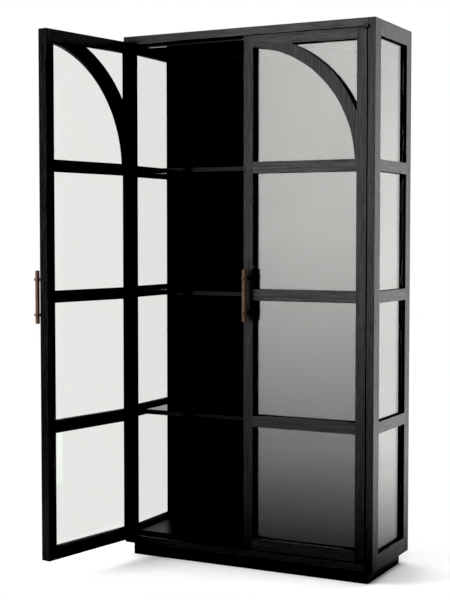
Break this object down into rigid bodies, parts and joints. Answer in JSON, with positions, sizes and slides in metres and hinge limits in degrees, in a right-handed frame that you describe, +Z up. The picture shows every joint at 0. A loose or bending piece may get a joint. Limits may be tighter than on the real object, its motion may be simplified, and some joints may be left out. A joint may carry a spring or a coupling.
{
  "type": "glazed display cabinet",
  "caption": "Tall floor-standing display cabinet with glazed sides, arched glass doors on knife hinges, shelves, a recessed plinth and leather-wrapped bar handles.",
  "frame": {"origin": "on the floor under the centre of the case, at the foot of the plinth's centre board", "axes": "+X to the right across the front, +Y from the front to the back, +Z up"},
  "size_m": [1.2022, 0.9358, 2.15],
  "materials": {
    "black_wood": "black-stained oak, open grain, matt lacquer",
    "interior_wood": "black-stained oak veneer, satin lacquer",
    "glass": "clear float glass, faintly grey-green",
    "leather": "waxed brown leather",
    "handle_core": "dark hardwood dowel",
    "aged_metal": "aged, slightly warm grey metal",
    "black_metal": "black satin coated steel",
    "steel": "plain zinc-plated steel"
  },
  "bodies": {
    "case": {"back_bottom_rail": "black_wood", "back_left_post": "black_wood", "back_panel": "interior_wood", "back_right_post": "black_wood", "back_top_rail": "black_wood", "base_panel": "interior_wood", "case_hinge_leaves": "black_metal", "case_screws": "black_metal", "front_bottom_rail": "black_wood", "front_left_post": "black_wood", "front_right_post": "black_wood", "front_top_rail": "black_wood", "left_side_bars": "black_wood", "left_side_bottom_rail": "black_wood", "left_side_panes": "glass", "left_side_top_rail": "black_wood", "lower_shelf": "interior_wood", "magnet_catches": "steel", "middle_shelf": "interior_wood", "plinth_back_board": "black_wood", "plinth_cross_boards": "black_wood", "plinth_front_board": "black_wood", "right_side_bars": "black_wood", "right_side_bottom_rail": "black_wood", "right_side_panes": "glass", "right_side_top_rail": "black_wood", "shelf_pins": "steel", "top_panel": "interior_wood", "top_stop_rail": "black_wood", "upper_shelf": "interior_wood"},
    "left_door": {"left_door_arch": "black_wood", "left_door_bottom_rail": "black_wood", "left_door_handle_core": "handle_core", "left_door_handle_leather": "leather", "left_door_handle_studs": "aged_metal", "left_door_hinge_leaves": "black_metal", "left_door_hinge_screws": "black_metal", "left_door_hinge_stile": "black_wood", "left_door_lower_bar": "black_wood", "left_door_meeting_stile": "black_wood", "left_door_middle_bar": "black_wood", "left_door_panes": "glass", "left_door_strike_discs": "black_metal", "left_door_top_rail": "black_wood", "left_door_upper_bar": "black_wood"},
    "right_door": {"right_door_arch": "black_wood", "right_door_bottom_rail": "black_wood", "right_door_handle_core": "handle_core", "right_door_handle_leather": "leather", "right_door_handle_studs": "aged_metal", "right_door_hinge_leaves": "black_metal", "right_door_hinge_screws": "black_metal", "right_door_hinge_stile": "black_wood", "right_door_lower_bar": "black_wood", "right_door_meeting_stile": "black_wood", "right_door_middle_bar": "black_wood", "right_door_panes": "glass", "right_door_strike_discs": "black_metal", "right_door_top_rail": "black_wood", "right_door_upper_bar": "black_wood"}
  },
  "joints": [
    {"name": "left_door_swing", "type": "hinge", "parent": "case", "child": "left_door", "pos_m": [-0.522, -0.211, 1.1], "axis": [0, 0, -1], "range_deg": [-100, 10]},
    {"name": "right_door_swing", "type": "hinge", "parent": "case", "child": "right_door", "pos_m": [0.522, -0.211, 1.1], "axis": [0, 0, 1], "range_deg": [0, 110]}
  ]
}
